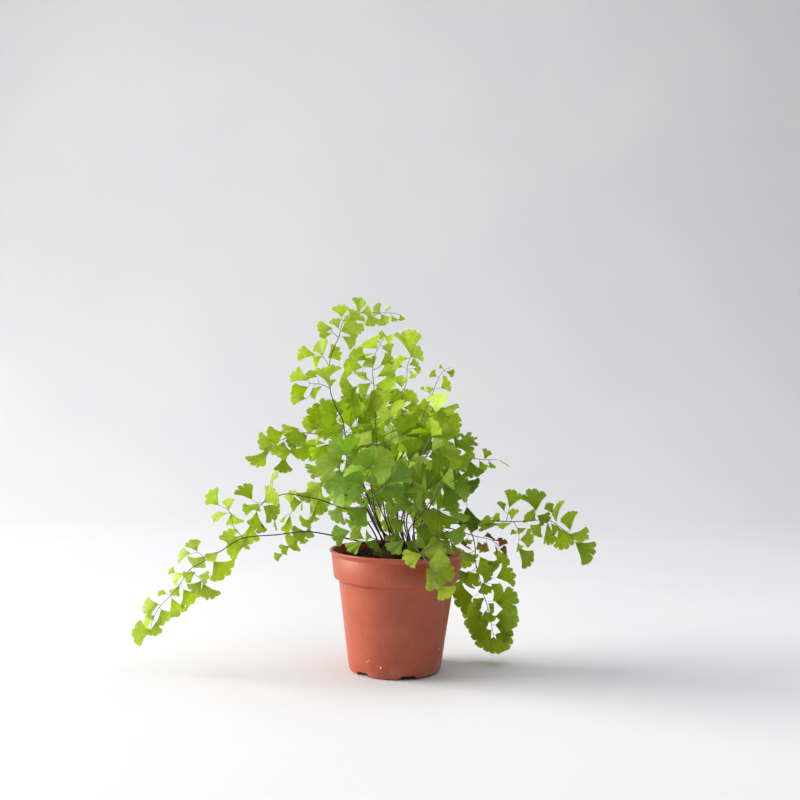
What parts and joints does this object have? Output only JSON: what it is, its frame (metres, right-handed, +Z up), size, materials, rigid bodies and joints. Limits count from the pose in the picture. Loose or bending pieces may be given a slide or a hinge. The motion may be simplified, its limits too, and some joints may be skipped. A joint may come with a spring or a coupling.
{
  "type": "potted fern",
  "caption": "Maidenhair fern with arching wiry stems and fan-shaped leaflets in a small terracotta-coloured plastic nursery pot.",
  "frame": {"origin": "centre of the pot's foot, on the surface that it stands on", "axes": "+Z up along the pot's axis, -Y towards the viewer in front, +X to the viewer's right, along the plant's longest spread"},
  "size_m": [0.3518, 0.2001, 0.288],
  "materials": {
    "pot_plastic": "satin injection-moulded polypropylene",
    "peat": "crumbly dark peat",
    "rhizome": "scaly, matte",
    "stem": "polished, wiry",
    "leaf": "soft satin, translucent",
    "withered_leaf": "dry, matte"
  },
  "bodies": {
    "root": {"pot": "pot_plastic", "potting_soil": "peat", "rhizome": "rhizome", "left_low_stipe": "stem", "left_low_blade": "leaf", "left_mid_stipe": "stem", "left_mid_blade": "leaf", "left_inner_stipe": "stem", "left_inner_blade": "leaf", "left_upper_stipe": "stem", "left_upper_blade": "leaf", "top_left_stipe": "stem", "top_left_blade": "leaf", "top_centre_stipe": "stem", "top_centre_blade": "leaf", "top_right_stipe": "stem", "top_right_blade": "leaf", "right_tip_stipe": "stem", "right_tip_blade": "leaf", "right_upper_stipe": "stem", "right_upper_blade": "leaf", "right_mid_stipe": "stem", "right_mid_blade": "leaf", "right_dark_stipe": "stem", "right_dark_blade": "leaf", "right_arch_stipe": "stem", "right_arch_blade": "leaf", "right_hanging_stipe": "stem", "right_hanging_blade": "leaf", "withered_stipe": "stem", "withered_blade": "withered_leaf", "front_right_stipe": "stem", "front_right_blade": "leaf", "centre_front_stipe": "stem", "centre_front_blade": "leaf", "centre_left_stipe": "stem", "centre_left_blade": "leaf", "centre_low_stipe": "stem", "centre_low_blade": "leaf", "centre_mid_stipe": "stem", "centre_mid_blade": "leaf", "centre_top_stipe": "stem", "centre_top_blade": "leaf", "centre_right_stipe": "stem", "centre_right_blade": "leaf", "right_front_stipe": "stem", "right_front_blade": "leaf", "front_mid_stipe": "stem", "front_mid_blade": "leaf", "low_right_stipe": "stem", "low_right_blade": "leaf", "back_left_stipe": "stem", "back_left_blade": "leaf", "back_centre_stipe": "stem", "back_centre_blade": "leaf", "back_right_stipe": "stem", "back_right_blade": "leaf", "middle_stipe": "stem", "middle_blade": "leaf"}
  },
  "joints": []
}
